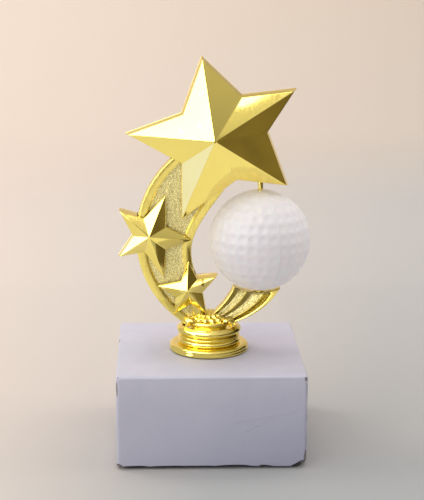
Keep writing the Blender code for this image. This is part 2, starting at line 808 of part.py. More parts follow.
def build_ball(material):
    """Two half shells joined on a plane through the spin axis."""
    for name, turn in (("ball_half_right", BALL_SEAM_ANGLE - 90.0),
                       ("ball_half_left", BALL_SEAM_ANGLE + 90.0)):
        half = shifted(half_ball(), (0.0, HALF_GAP, 0.0))
        node = place(name, half, material, BALL_CENTRE, sharp_degrees=50.0)
        node.rotation_euler = (0.0, 0.0, math.radians(turn))


# ---------------------------------------------------------------- assembly

def build():
    """Build every piece of the trophy."""
    clear_scene()
    build_base_block(make_material("block_paint", BLOCK_GREY, 0.55, 0.0))
    build_base_pad(make_material("pad_felt", FELT_BLACK, 0.95, 0.0))
    build_tie_rod(make_material("rod_zinc", ZINC, 0.35, 1.0))
    build_washer(make_material("washer_zinc", ZINC, 0.40, 1.0))
    build_hex_nut(make_material("nut_zinc", ZINC, 0.35, 1.0))
    build_foot(make_material("foot_gold", GOLD, 0.12, 1.0))
    build_foot_insert(make_material("insert_brass", BRASS, 0.35, 1.0))
    build_leaf_collar(make_material("collar_gold", GOLD, 0.15, 1.0))
    build_crescent(make_material("crescent_gold", GOLD, 0.22, 1.0))
    build_ribbon(make_material("ribbon_gold", GOLD, 0.20, 1.0))
    build_star_pair("big_star", BIG_STAR, make_material("big_star_gold", GOLD, 0.10, 1.0),
                    upper_pin_seat)
    build_star_pair("medium_star", MEDIUM_STAR, make_material("medium_star_gold", GOLD, 0.12, 1.0))
    build_star_pair("small_star", SMALL_STAR, make_material("small_star_gold", GOLD, 0.12, 1.0))
    build_pins(make_material("pin_gold", GOLD, 0.15, 1.0))
    build_ball(make_material("ball_white", BALL_WHITE, 0.30, 0.0))


build()
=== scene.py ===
"""Star trophy on its square block: materials, fine shapes, light and camera.

Lengths are millimetres and outlines are drawn about the foot's axis; every finished
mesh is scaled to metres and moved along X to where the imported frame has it.
"""
import math

import bmesh
import bpy
from mathutils import Matrix, Vector, noise


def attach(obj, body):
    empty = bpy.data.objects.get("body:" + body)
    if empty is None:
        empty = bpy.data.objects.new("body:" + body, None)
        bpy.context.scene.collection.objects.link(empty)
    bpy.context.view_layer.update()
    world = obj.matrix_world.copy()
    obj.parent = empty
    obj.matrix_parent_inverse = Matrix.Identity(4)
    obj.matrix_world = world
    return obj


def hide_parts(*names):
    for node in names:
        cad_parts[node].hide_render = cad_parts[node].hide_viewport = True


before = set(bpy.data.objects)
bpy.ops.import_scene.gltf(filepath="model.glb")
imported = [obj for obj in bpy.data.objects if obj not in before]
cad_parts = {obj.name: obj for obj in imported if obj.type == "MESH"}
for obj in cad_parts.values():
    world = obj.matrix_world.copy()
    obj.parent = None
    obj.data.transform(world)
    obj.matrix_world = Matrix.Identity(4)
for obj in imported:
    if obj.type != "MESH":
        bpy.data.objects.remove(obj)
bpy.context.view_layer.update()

MM = 0.001
AXIS_X = -1.92
FIT_GAP = 0.3
HALF_GAP = 0.15

# Block, pad and fastening
BLOCK_SIDE = 76.2
BLOCK_CORNER_RADIUS = 1.5
BLOCK_LEVELS = (
    (0.35, 0.9), (0.1, 1.0), (0.0, 1.25), (0.0, 12.0), (0.0, 26.0), (0.0, 37.7),
    (0.14, 38.3), (0.45, 38.75), (0.95, 39.0),
)
BLOCK_TOP = 39.0
COUNTERBORE = (10.0, 9.9)
# Chips that bare the block's body, then dents in its coating, each as
# (centre, half sizes, lean in degrees); a lump's number also seeds its noise
BLOCK_CHIPS = (
    ((37.6, -37.4, 1.0), (6.6, 3.2, 2.7), 16.0),
    ((21.6, -38.5, 0.8), (3.5, 2.6, 0.85), -1.0),
    ((7.2, -38.6, 0.75), (10.6, 2.8, 0.95), 0.6),
    ((-4.6, -38.6, 0.75), (10.0, 2.6, 0.8), 0.0),
    ((-16.5, -38.6, 0.75), (11.0, 2.6, 0.85), 0.0),
    ((-29.0, -38.6, 0.75), (9.0, 2.7, 0.9), -0.6),
    ((-37.6, -37.8, 1.0), (2.4, 2.2, 1.5), -12.0),
    ((37.9, -37.8, 5.0), (0.9, 1.0, 3.0), 0.0),
    ((37.6, -38.1, 37.6), (0.9, 0.7, 1.1), 30.0),
    ((38.05, -37.95, 31.5), (0.6, 0.7, 1.6), 1.5),
    ((-37.95, -37.9, 34.0), (0.6, 0.75, 3.4), 2.0),
    ((-37.6, -38.1, 38.7), (1.2, 0.7, 0.5), 10.0),
    ((37.6, 37.0, 1.0), (2.4, 2.2, 1.5), 0.0),
    ((-38.1, 12.0, 38.8), (0.6, 2.6, 0.6), 0.0),
)
BLOCK_DENTS = (
    ((37.95, -37.9, 30.5), (0.85, 0.95, 5.6), 1.5),
    ((37.95, -37.85, 22.0), (0.7, 0.85, 5.4), -1.0),
    ((38.0, -37.85, 12.5), (0.65, 0.85, 6.4), 1.0),
    ((17.6, -38.25, 17.6), (3.8, 0.36, 0.24), 23.0),
    ((14.2, -38.25, 15.9), (1.4, 0.32, 0.20), 12.0),
    ((21.4, -38.2, 19.2), (1.1, 0.26, 0.18), 8.0),
    ((33.0, -38.25, 24.2), (3.6, 0.26, 0.16), 16.0),
    ((30.0, -38.2, 22.9), (0.9, 0.26, 0.20), -10.0),
)
ROD_HOLE_RADIUS = 3.5
PAD_SIDE = 73.2
PAD_THICKNESS = 0.6
PAD_CORNER_RADIUS = 3.0
PAD_EDGE_STEP = 0.9
PAD_LEVELS = ((0.25, 0.0), (0.05, 0.12), (0.0, 0.3), (0.06, 0.5), (0.3, 0.6))
ROD_HEIGHTS = (3.2, 46.4)
ROD_RADIUS = 3.0
THREAD_PITCH = 1.0
THREAD_DEPTH = 0.45
THREAD_HOLE_RADIUS = 3.3
NUT_HEIGHTS = (2.8, 7.8)
NUT_ACROSS_FLATS = 10.0
WASHER_HEIGHTS = (8.1, 9.6)
WASHER_RADIUS = 9.0
INSERT_PROFILE = (
    (THREAD_HOLE_RADIUS + 0.3, 40.2), (4.7, 40.2), (5.0, 40.5), (5.0, 42.6), (4.6, 42.9),
    (4.6, 43.7), (5.0, 44.0), (5.0, 47.1), (4.7, 47.4), (THREAD_HOLE_RADIUS + 0.3, 47.4),
    (THREAD_HOLE_RADIUS, 47.1), (THREAD_HOLE_RADIUS, 40.5),
)
KNURL_STEPS = 120
KNURL_DEPTH = 0.14
KNURL_FROM = 4.9

# Foot outline from the bore round the outside to the cup, as (radius, height)
FOOT_INSIDE = ((5.3, 47.8), (5.3, 39.3), (7.6, 39.3), (7.6, 45.6), (9.7, 45.6), (11.2, 44.1),
               (11.2, 39.3))
FLANGE = ((16.0, 39.3), (16.4, 39.36), (16.58, 39.6), (16.6, 40.0), (16.5, 40.3),
          (16.33, 40.44), (16.31, 40.54), (16.42, 40.72), (16.43, 41.1), (16.27, 41.5),
          (15.92, 41.85), (15.4, 42.1), (14.75, 42.24), (14.0, 42.26), (13.3, 42.2),
          (12.5, 42.12))
BEADS = ((12.2, 13.1, 42.25, 44.5), (12.0, 12.9, 44.7, 46.1), (12.0, 13.5, 46.3, 49.6))
CUP = ((11.9, 49.76), (11.5, 49.8), (11.15, 49.7), (10.9, 49.3), (10.75, 48.5), (10.5, 47.85))
BEAD_STEPS = 12
FOOT_SEGMENTS = 160

# Leaf collar
COLLAR_BAND = ((4.0, 48.1), (7.4, 48.1), (7.6, 49.0), (7.8, 49.6), (8.3, 49.85), (8.85, 50.1),
               (9.2, 50.5), (9.32, 51.0), (9.2, 51.5), (8.85, 51.85), (8.4, 51.95),
               (7.9, 51.85), (7.5, 51.7), (6.4, 52.2), (4.6, 52.8), (2.6, 53.1))
# Leaves: (tier, angles, start, rise, tip, width, curl, thickness), points as (reach, height)
LEAF_TIERS = (
    ("low", (34, 58, 81, 103, 126, 149, 211, 234, 257, 279, 302, 326),
     (3.6, 52.3), (5.8, 53.6), (8.3, 51.75), 3.9, 0.7, 0.5),
    ("high", (50, 72, 94, 116, 138, 222, 246, 270, 294, 318),
     (1.2, 52.9), (3.4, 54.6), (6.0, 53.1), 3.1, 0.6, 0.5),
    ("curled", (30, 150, 212, 328),
     (5.6, 51.6), (8.6, 54.2), (11.3, 50.1), 5.4, -1.2, 0.8),
)
LEAF_ROWS = 16
LEAF_COLUMNS = 10
SLOT_HALF_WIDTH = 3.6
SLOT_FLOOR = 49.6

# Crescent
CRESCENT_CENTRE = (13.7, 87.3)
CRESCENT_RADIUS = 44.1
CRESCENT_STEPS = 110
CRESCENT_TOP_ANGLE = 122.0
STEM_BOTTOM = 49.9
INNER_EDGE_UPPER = ((7.7, 109.5), (-0.6, 98.2), (-7.55, 90.0), (-7.55, 81.0))
INNER_EDGE_LOWER = ((-7.55, 81.0), (-7.55, 75.0), (-3.8, 66.0), (-2.2, 49.9))
RIM_HEIGHT = 3.25
RIM_SHOULDER = 2.0
PANEL_HEIGHT = 2.2
PANEL_GROOVE = 0.15
PANEL_EDGE_DROP = 0.16
RIM_INNER_FOOT = PANEL_HEIGHT - 0.12
OUTER_RIM_WIDTH = 3.5
INNER_RIM_WIDTH = 3.7
OUTER_RIM_LEAN = 0.2
INNER_RIM_LEAN = 0.62
RIM_STEPS = 12
PANEL_STEPS = 8

# Ribbon
RIBBON_LEFT_EDGE = ((-1.6, 49.9), (0.0, 54.5), (6.5, 57.5), (10.1, 66.3))
RIBBON_RIGHT_EDGE = ((7.2, 49.9), (13.5, 50.6), (24.5, 55.5), (29.5, 65.3))
CRADLE_GAP = 1.1
RIBBON_PLEATS = (
    (0.0, 2.2), (0.01, 2.65), (0.02, 2.75), (0.035, 2.6), (0.125, 1.05), (0.145, 1.0),
    (0.17, 1.15), (0.27, 2.55), (0.28, 2.72), (0.295, 2.6), (0.405, 1.0), (0.425, 0.95),
    (0.50, 1.25), (0.625, 2.6), (0.638, 2.75), (0.655, 2.62), (0.775, 0.9), (0.795, 0.85),
    (0.82, 1.9), (0.85, 2.4), (0.90, 2.6), (0.95, 2.5), (0.985, 2.15), (1.0, 1.5),
)
RIBBON_LIP_START = 0.957
RIBBON_LIP_DEPTH = 2.6
RIBBON_ROUND_START = 0.985
# Shares of the ribbon's width that each plating with painted shade covers: light painted shade on
# the slopes, heavy painted shade in the shade bands
SLOPE_BANDS = ((0.145, 0.27), (0.425, 0.625))
SHADE_BANDS = ((0.035, 0.145), (0.295, 0.425), (0.655, 0.80))

# Ball and pins
BALL_CENTRE = (20.8, 0.0, 85.6)
BALL_RADIUS = 21.0
BALL_WALL = 1.5
BALL_STEPS = 132
BALL_SEAM_ANGLE = 19.0
DIMPLE_ROW_STEP = 12.0
# Dimples in each row from the equator towards a pole; reach in degrees, depth in millimetres
DIMPLES_IN_ROW = (30, 30, 30, 24, 20, 15, 10, 5)
DIMPLE_REACH = 5.7
DIMPLE_DEPTH = 0.36
SEAM_GAP = 0.02
SEAM_RIDGE = 0.07
SEAM_REACH = 1.6
PIN_RADIUS = 1.1
PIN_HOLE_RADIUS = 1.16
PIN_SEAT_RADIUS = 1.4
UPPER_PIN = ((0.75, 103.8), (0.95, 103.88), (PIN_RADIUS, 104.15), (PIN_RADIUS, 112.85),
             (0.95, 113.12), (0.75, 113.2))
LOWER_PIN = ((0.75, 59.6), (0.95, 59.68), (PIN_RADIUS, 59.95), (PIN_RADIUS, 62.7), (1.65, 62.7),
             (1.8, 62.85), (1.8, 64.05), (1.65, 64.2), (PIN_RADIUS, 64.2), (PIN_RADIUS, 67.05),
             (0.95, 67.32), (0.75, 67.4))
UPPER_SEAT = ((PIN_SEAT_RADIUS, 103.8), (PIN_SEAT_RADIUS, 113.5))
LOWER_SEAT = ((PIN_SEAT_RADIUS, 59.3), (PIN_SEAT_RADIUS, 62.4), (2.1, 62.4), (2.1, 65.2))

# Stars: (angle in degrees, radius) of the tips and of the valleys between them; a hollow star
# has the scale of its opening
STARS = {
    "big_star": {
        "centre": (3.3, 128.8),
        "tips": ((102, 33.5), (178, 38.0), (246, 38.3), (325, 35.5), (32, 37.5)),
        "valleys": ((147, 18.0), (215, 19.0), (294, 19.6), (6, 20.6), (61, 19.7)),
        "apex": (1.6, 128.5), "height": 13.0, "draft": 0.045, "bevel": 0.3,
        "hollow": 0.84,
    },
    "medium_star": {
        "centre": (-23.8, 88.0),
        "tips": ((72, 18.6), (141, 17.5), (212, 16.5), (286, 19.2), (355, 17.2)),
        "valleys": ((112, 8.7), (178, 8.1), (246, 7.4), (316, 8.1), (35, 7.5)),
        "apex": (-24.85, 88.7), "height": 8.6, "draft": 0.05, "bevel": 0.22,
    },
    "small_star": {
        "centre": (-8.4, 65.1),
        "tips": ((92, 13.6), (171, 14.1), (237, 12.7), (306, 13.2), (27, 13.6)),
        "valleys": ((131, 5.6), (208, 6.7), (279, 6.2), (351, 6.0), (57, 6.4)),
        "apex": (-9.35, 65.75), "height": 7.9, "draft": 0.08, "bevel": 0.2,
    },
}
STAR_EDGE = 4.6
STAR_ROOF = 2.0

# Sweep colour up the view, graded with painted light: brighter and warmer on the left, painted
# shade to the right and towards the bottom; rows as (height, share of the width it changes over,
# left, right)
SWEEP_PAINTED_LIGHT_TONES = (
    (0.0, 0.5, (0.54, 0.495, 0.455), (0.33, 0.34, 0.345)),
    (0.24, 0.9, (0.60, 0.525, 0.47), (0.385, 0.38, 0.37)),
    (0.6, 1.0, (0.635, 0.56, 0.505), (0.455, 0.445, 0.435)),
    (0.74, 1.0, (0.715, 0.61, 0.525), (0.595, 0.53, 0.465)),
    (1.0, 1.0, (0.74, 0.63, 0.54), (0.635, 0.545, 0.455)),
)

# Sweep: where it starts, bends up and ends, in metres
SWEEP_NEAR = -1.3
SWEEP_BEND = 0.7
SWEEP_RADIUS = 0.5
SWEEP_TOP = 1.6
SWEEP_HALF_WIDTH = 1.8

# Cards and lamps in metres: cards as (name, centre, aim, size, colour, strength, far share,
# patchiness), lamps as (name, centre, aim, size, power, colour)
CENTRE = (0.0, 0.0, 0.09)
FOOT_MIDDLE = (-0.0019, 0.0, 0.048)
PAPER = (1.0, 0.97, 0.93)
FLAG = (1.0, 0.95, 0.85)
AMBER = (1.0, 0.80, 0.42)
CARDS = (
    ("stage_softbox", (-0.614, -0.355, 0.645), CENTRE, (1.4, 1.5), (1.0, 0.985, 0.96), 4.6),
    ("stage_dark_card", (0.17, -0.12, 0.075), (0.0, -0.12, 0.075), (0.55, 0.15), AMBER,
     0.27, 0.06, 1.6),
    ("stage_paper_front", (-0.24, -0.30, 0.0015), (-0.24, -0.30, 1.0), (0.72, 0.51), PAPER,
     0.98, 0.72),
    ("stage_paper_glow", (-0.62, -0.30, 0.003), (-0.62, -0.30, 1.0), (0.74, 0.60),
     (0.86, 0.96, 1.9), 1.1),
    ("stage_camera", (0.0, -0.60, 0.26), (0.0, 0.0, 0.05), (0.13, 0.50), (1.0, 0.8, 0.5), 0.05),
    ("stage_flag_left", (-0.0265, -0.0030, 0.048), FOOT_MIDDLE, (0.030, 0.018), FLAG, 0.60),
    ("stage_flag_front", (-0.0085, -0.0258, 0.048), FOOT_MIDDLE, (0.026, 0.018), FLAG, 0.55),
    ("stage_flag_ball", (-0.0044, -0.0135, 0.073), (-0.0244, -0.0135, 0.073), (0.017, 0.012),
     AMBER, 0.12),
    ("stage_paper_left", (-0.325, 0.10, 0.0015), (-0.325, 0.10, 1.0), (0.55, 0.29), PAPER, 0.85),
    ("stage_paper_right", (0.105, 0.10, 0.0015), (0.105, 0.10, 1.0), (0.12, 0.29), PAPER, 0.7),
)
LAMPS = (
    ("lamp_overhead", (-0.08, 0.20, 1.1), (0.0, 0.0, 0.0), (1.2, 1.1), 5.9, (1.0, 0.985, 0.98)),
    ("lamp_front_left", (-0.80, -0.62, 0.34), CENTRE, (0.7, 0.7), 2.3, (0.99, 0.985, 1.0)),
    ("lamp_right", (0.8, 0.12, 0.72), CENTRE, (0.8, 0.8), 2.8, (1.0, 0.90, 0.86)),
    ("lamp_backdrop", (-0.9, 0.5, 1.1), (-0.1, 1.1, 0.1), (0.6, 0.6), 5.0, (1.0, 0.97, 0.94)),
)
CAMERA_PLACE = (-0.02352, -0.5603, 0.2153)
CAMERA_ANGLES = (-2.319, 13.44, 0.366)  # azimuth, pitch down, roll
CAMERA_LENS = 100.16

# Plating colours
GOLD = (0.95, 0.785, 0.205)
GOLD_DEEP = (0.86, 0.66, 0.15)


# ---- meshes

def place_in_scene(name, data, centre=(0.0, 0.0, 0.0), aim=None):
    """A new object at a centre, its -Z axis turned towards aim where one is given."""
    thing = bpy.data.objects.new(name, data)
    thing.location = centre
    if aim:
        facing = Vector(aim) - Vector(centre)
        thing.rotation_euler = facing.to_track_quat("-Z", "Y").to_euler()
    bpy.context.scene.collection.objects.link(thing)
    return thing


def closed_mesh(vertices, faces, kinds=()):
    """A mesh in millimetres with outward faces; kinds gives each face its material slot."""
    mesh = bpy.data.meshes.new("shape")
    mesh.from_pydata([tuple(point) for point in vertices], [], faces)
    if kinds:
        mesh.polygons.foreach_set("material_index", kinds)
    work = bmesh.new()
    work.from_mesh(mesh)
    bmesh.ops.recalc_face_normals(work, faces=work.faces[:])
    work.to_mesh(mesh)
    work.free()
    return mesh


def evaluated(mesh, kind, **settings):
    """A mesh after one modifier."""
    target = place_in_scene("target", mesh)
    modifier = target.modifiers.new("step", kind)
    for name, value in settings.items():
        setattr(modifier, name, value)
    view = bpy.context.evaluated_depsgraph_get()
    result = bpy.data.meshes.new_from_object(target.evaluated_get(view))
    bpy.data.objects.remove(target, do_unlink=True)
    return result


def carve(mesh, cutter_mesh):
    """The first solid with the second one taken out of it."""
    cutter = place_in_scene("cutter", cutter_mesh)
    result = evaluated(mesh, "BOOLEAN", operation="DIFFERENCE", solver="EXACT", object=cutter)
    bpy.data.objects.remove(cutter, do_unlink=True)
    return result


def piece(name, mesh, materials, node, body="trophy", sharp_degrees=35.0, moved=(0.0, 0.0, 0.0)):
    """Finish one visible piece: metres, shading, materials, the body it moves with."""
    mesh.transform(Matrix.Translation(Vector(moved) + Vector((AXIS_X, 0.0, 0.0))))
    mesh.transform(Matrix.Scale(MM, 4))
    mesh.shade_smooth()
    mesh.set_sharp_from_angle(angle=math.radians(sharp_degrees))
    kinds = [polygon.material_index for polygon in mesh.polygons]
    mesh.materials.clear()
    for material in materials:
        mesh.materials.append(material)
    mesh.polygons.foreach_set("material_index", [min(k, len(materials) - 1) for k in kinds])
    thing = place_in_scene(name, mesh)
    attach(thing, body)
    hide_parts(node)


def bridge(rings, wrap):
    """Faces between neighbouring rings of points."""
    count = len(rings[0])
    total = len(rings)
    faces = []
    for row in range(total if wrap else total - 1):
        above = ((row + 1) % total) * count
        for step in range(count):
            after = (step + 1) % count
            faces.append((row * count + step, row * count + after, above + after, above + step))
    return faces


def skin(rings):
    """A solid through a row of closed rings, with a face at each end."""
    count = len(rings[0])
    vertices = [point for ring in rings for point in ring]
    faces = bridge(rings, wrap=False)
    faces.append(tuple(range(count)))
    faces.append(tuple(range(len(vertices) - count, len(vertices))))
    return closed_mesh(vertices, faces)


def turn_ring(radius, height, segments):
    """One ring of points about the Z axis; radius is a number or a function of the angle."""
    ring = []
    for step in range(segments):
        angle = 2.0 * math.pi * step / segments
        reach = radius(angle) if callable(radius) else radius
        ring.append((reach * math.cos(angle), reach * math.sin(angle), height))
    return ring


def turned_solid(profile, segments=48):
    """Turn an open outline of (radius, height) points."""
    return skin([turn_ring(radius, height, segments) for radius, height in profile])


def tube(rings):
    """A solid through a closed loop of rings."""
    return closed_mesh([point for ring in rings for point in ring], bridge(rings, wrap=True))


def turned_tube(profile, segments):
    """Turn a closed outline of (radius, height) points into a ring."""
    return tube([turn_ring(radius, height, segments) for radius, height in profile])


def plate(row_values, column_values, pair, kind_of_column=lambda column: 0):
    """A solid between two grids; pair gives a row and column's point on the front and back."""
    pairs = [pair(row, column) for row in row_values for column in column_values]
    vertices = [both[side] for side in (0, 1) for both in pairs]
    rows = len(row_values)
    columns = len(column_values)
    far = rows * columns
    faces = []
    kinds = []
    for row in range(rows - 1):
        for column in range(columns - 1):
            here = row * columns + column
            quad = (here, here + 1, here + columns + 1, here + columns)
            faces += [quad, tuple(far + index for index in quad)]
            kinds += [kind_of_column(column), 0]
    border = [*range(columns), *range(2 * columns - 1, far, columns),
              *range(far - 2, far - columns - 1, -1), *range(far - 2 * columns, 0, -columns)]
    for start, end in zip(border, border[1:] + border[:1]):
        faces.append((start, end, far + end, far + start))
        kinds.append(0)
    return closed_mesh(vertices, faces, kinds)


def mirrored(mesh):
    """The same solid on the other side of the y = 0 plane."""
    work = bmesh.new()
    work.from_mesh(mesh)
    for vertex in work.verts:
        vertex.co.y = -vertex.co.y
    bmesh.ops.reverse_faces(work, faces=work.faces[:])
    work.to_mesh(mesh)
    work.free()
    return mesh


def prism(outline, front, back):
    """An outline in the x, z plane made solid between two y values."""
    return skin([[(x, y, z) for x, z in outline] for y in (front, back)])


def curve_point(control, amount):
    """A point on a cubic curve with four control points."""
    rest = 1.0 - amount
    weights = (rest ** 3, 3 * rest ** 2 * amount, 3 * rest * amount ** 2, amount ** 3)
    across = sum(weight * point[0] for weight, point in zip(weights, control))
    up = sum(weight * point[1] for weight, point in zip(weights, control))
    return across, up


def polar(centre, degrees, radius):
    """A point at an angle and a distance from a centre."""
    angle = math.radians(degrees)
    return centre[0] + radius * math.cos(angle), centre[1] + radius * math.sin(angle)


def along_table(table, value):
    """Straight-line reading of a table of (position, height) pairs."""
    for (left, low), (right, high) in zip(table, table[1:]):
        if value <= right:
            return low + (high - low) * (value - left) / (right - left)
    return table[-1][1]


def grown_outline(outline, distance):
    """A closed outline moved outward by a distance, with mitred corners."""
    sides = list(zip(outline, outline[1:] + outline[:1]))
    area = sum(here[0] * after[1] - after[0] * here[1] for here, after in sides)
    outward = math.copysign(1.0, area)
    normals = []
    for here, after in sides:
        length = math.dist(here, after)
        normals.append((outward * (after[1] - here[1]) / length,
                        -outward * (after[0] - here[0]) / length))
    grown = []
    for corner, before, after in zip(outline, normals[-1:] + normals[:-1], normals):
        spread = 1.0 + before[0] * after[0] + before[1] * after[1]
        grown.append([corner[axis] + distance * (before[axis] + after[axis]) / spread
                      for axis in (0, 1)])
    return grown


def lump(centre, size, lean, seed):
    """A rough closed lump that breaks a chip out of an edge, or ploughs a scratch."""
    work = bmesh.new()
    bmesh.ops.create_icosphere(work, subdivisions=3, radius=1.0)
    for vertex in work.verts:
        spot = vertex.co * 1.7 + Vector((seed, 0.0, 0.0))
        reach = 1.0 + 0.28 * noise.noise(spot) + 0.12 * noise.noise(spot * 3.1)
        vertex.co = Vector((size[axis] * reach * vertex.co[axis] for axis in range(3)))
    bmesh.ops.rotate(work, verts=work.verts[:], matrix=Matrix.Rotation(-lean, 3, "Y"))
    bmesh.ops.translate(work, verts=work.verts[:], vec=Vector(centre))
    mesh = bpy.data.meshes.new("lump")
    work.to_mesh(mesh)
    work.free()
    return mesh


# ---- materials

class NodeTree:
    """Shader nodes under construction."""

    def __init__(self, tree, coordinates):
        self.tree = tree
        self.place = tree.nodes.new("ShaderNodeTexCoord").outputs[coordinates]

    def feed(self, node, name, value):
        """Set an input to a number, a colour or another node's output."""
        if isinstance(value, bpy.types.NodeSocket):
            self.tree.links.new(value, node.inputs[name])
        elif isinstance(value, tuple) and len(value) == 3 and name != "Scale":
            node.inputs[name].default_value = (*value, 1.0)
        else:
            node.inputs[name].default_value = value

    def add(self, kind, output, inputs):
        """A new node's output, with the node's inputs set."""
        node = self.tree.nodes.new(kind)
        for name, value in inputs.items():
            self.feed(node, name, value)
        return node.outputs[output]

    def arithmetic(self, operation, *values):
        """The result of one operation on numbers."""
        node = self.tree.nodes.new("ShaderNodeMath")
        node.operation = operation
        for index, value in enumerate(values):
            self.feed(node, index, value)
        return node.outputs["Value"]

    def part(self, vector, axis):
        """One coordinate of a vector."""
        return self.add("ShaderNodeSeparateXYZ", axis, {"Vector": vector})

    def finish(self, kind, shader):
        """Send a shader to a new output node."""
        self.feed(self.tree.nodes.new(kind), "Surface", shader)

    def cloud(self, scale, detail=3.0, stretch=None, twist=0.0):
        """Noise; scale is in features per metre."""
        place = self.place
        if stretch:
            place = self.add("ShaderNodeMapping", "Vector", {"Scale": stretch, "Vector": place})
        return self.add("ShaderNodeTexNoise", "Fac", {"Scale": scale, "Detail": detail,
                                                      "Distortion": twist, "Vector": place})

    def cells(self, scale):
        """Distance to scattered points."""
        return self.add("ShaderNodeTexVoronoi", "Distance", {"Scale": scale, "Vector": self.place})

    def spread(self, value, low, high, start, end):
        """Map a value from low..high to start..end, clamped."""
        return self.add("ShaderNodeMapRange", "Result", {
            "Value": value, "From Min": low, "From Max": high, "To Min": start, "To Max": end})

    def blend(self, share, first, second):
        """Mix of two colours."""
        return self.add("ShaderNodeMixRGB", "Color", {"Fac": share, "Color1": first,
                                                      "Color2": second})


class Surface(NodeTree):
    """A material under construction: textures feeding one Principled shader."""

    def __init__(self, name):
        self.material = bpy.data.materials.new(name)
        self.material.use_nodes = True
        super().__init__(self.material.node_tree, "Object")
        self.shader = self.tree.nodes["Principled BSDF"]
        self.relief = None

    def set(self, **values):
        """Set inputs of the shader; underscores in a name stand for spaces."""
        for name, value in values.items():
            self.feed(self.shader, name.replace("_", " "), value)

    def bump(self, height, depth_mm):
        """Add relief; depth is the height of the relief in millimetres."""
        inputs = {"Distance": depth_mm * MM, "Height": height}
        if self.relief is not None:
            inputs["Normal"] = self.relief
        self.relief = self.add("ShaderNodeBump", "Normal", inputs)
        self.set(Normal=self.relief)


def plated(name, roughness, wave_mm=0.12, wave_scale=60.0, grain_mm=0.0, grain_scale=1500.0,
           painted_shade=0.0):
    """Bright gold plating on moulded plastic, with slight sink, haze and rubbed spots; a stippled
    plating can carry painted shade.
    """
    look = Surface(name)
    haze = look.cloud(55.0, 4.0)
    rub = look.cloud(900.0, 5.0, stretch=(1.0, 1.0, 0.18))
    tone = look.blend(look.spread(haze, 0.35, 0.7, 0.0, 0.35), GOLD, GOLD_DEEP)
    worn = look.spread(look.cloud(260.0, 6.0), 0.62, 0.74, 0.0, 0.3)
    look.set(Base_Color=look.blend(worn, tone, (0.98, 0.86, 0.40)), Metallic=1.0)
    rough = look.spread(rub, 0.3, 0.75, 0.7 * roughness, 1.6 * roughness)
    look.set(Roughness=rough, Coat_Weight=0.15, Coat_Roughness=0.05)
    look.bump(look.cloud(wave_scale, 1.0), wave_mm)
    look.bump(look.cloud(700.0, 3.0), 0.006)
    if grain_mm > 0.0:
        sparkle = look.cells(grain_scale)
        speck = look.spread(look.cells(1.4 * grain_scale), 0.25, 0.65, 0.0, 0.84)
        stipple = look.blend(speck, (1.0, 0.93, 0.48), (0.50, 0.39, 0.11))
        # Painted shade: the stipple is blended towards dark olive by the given share
        look.set(Base_Color=look.blend(painted_shade, stipple, (0.20, 0.16, 0.04)))
        look.bump(sparkle, grain_mm)
    return look.material


def painted_block():
    """Grey-lilac satin coating: mottled and scuffed, with painted shade darkening it towards the
    lower right.
    """
    look = Surface("block_coating")
    mottle = look.cloud(38.0, 5.0, twist=0.4)
    fine = look.cloud(1400.0, 4.0)
    tone = look.blend(look.spread(mottle, 0.35, 0.68, 0.0, 1.0), (0.53, 0.525, 0.62),
                      (0.475, 0.475, 0.575))
    tone = look.blend(look.spread(fine, 0.45, 0.75, 0.0, 0.22), tone, (0.40, 0.40, 0.50))
    scuff = look.spread(look.cloud(120.0, 7.0, stretch=(0.5, 0.5, 1.6)), 0.66, 0.76, 0.0, 0.35)
    tone = look.blend(scuff, tone, (0.64, 0.63, 0.70))
    # Painted shade: the coating darkens towards the right side and towards the bottom, where the
    # light falls off
    painted_right_shade = look.spread(look.part(look.place, "X"), -0.04, 0.04, 0.25, 0.95)
    painted_low_shade = look.spread(look.part(look.place, "Z"), 0.036, 0.004, 0.0, 1.0)
    tone = look.blend(look.arithmetic("MULTIPLY", painted_right_shade, painted_low_shade), tone, (0.34, 0.345, 0.46))
    look.set(Base_Color=tone, Roughness=look.spread(mottle, 0.3, 0.7, 0.42, 0.58))
    look.bump(look.cloud(30.0, 2.0), 0.10)
    look.bump(fine, 0.02)
    return look.material


def broken_stone():
    """The darker, rough body of the block where a chip has come away."""
    look = Surface("block_chip")
    grain = look.cloud(1900.0, 6.0)
    look.set(Base_Color=look.blend(grain, (0.13, 0.12, 0.125), (0.31, 0.285, 0.30)), Roughness=0.95)
    look.bump(grain, 0.12)
    return look.material


def felt():
    """Short-pile dark felt."""
    look = Surface("pad_felt_pile")
    pile = look.cloud(3200.0, 5.0)
    look.set(Base_Color=look.blend(pile, (0.012, 0.012, 0.015), (0.05, 0.05, 0.06)),
             Roughness=0.95, Sheen_Weight=0.4)
    look.bump(pile, 0.25)
    return look.material


def metal(name, light, dark, roughness, stretch=None):
    """Machined metal with tool lines and slight tarnish."""
    look = Surface(name)
    lines = look.cloud(900.0, 4.0, stretch=stretch)
    stain = look.cloud(140.0, 5.0)
    look.set(Base_Color=look.blend(look.spread(stain, 0.4, 0.75, 0.0, 1.0), light, dark),
             Metallic=1.0, Roughness=look.spread(lines, 0.3, 0.7, 0.7 * roughness, 1.5 * roughness))
    look.bump(lines, 0.015)
    return look.material


def white_ball():
    """Glossy white moulded plastic with faint flow marks, handling haze and a faint painted glow.
    """
    look = Surface("ball_shell_white")
    flow = look.cloud(70.0, 4.0, stretch=(1.0, 1.0, 0.5))
    smear = look.cloud(230.0, 6.0)
    tone = look.blend(look.spread(flow, 0.35, 0.7, 0.0, 1.0), (0.70, 0.687, 0.71),
                      (0.67, 0.655, 0.68))
    # The emission is a painted glow: faint pinkish light from the shell itself that lifts its
    # shaded bottom and right side
    look.set(Base_Color=tone, Roughness=look.spread(smear, 0.35, 0.7, 0.40, 0.52),
             Specular_IOR_Level=0.28, Sheen_Weight=0.45, Sheen_Roughness=0.3,
             Subsurface_Weight=0.15, Subsurface_Scale=0.003,
             Emission_Color=(1.0, 0.91, 0.89), Emission_Strength=0.12)
    look.bump(smear, 0.012)
    return look.material


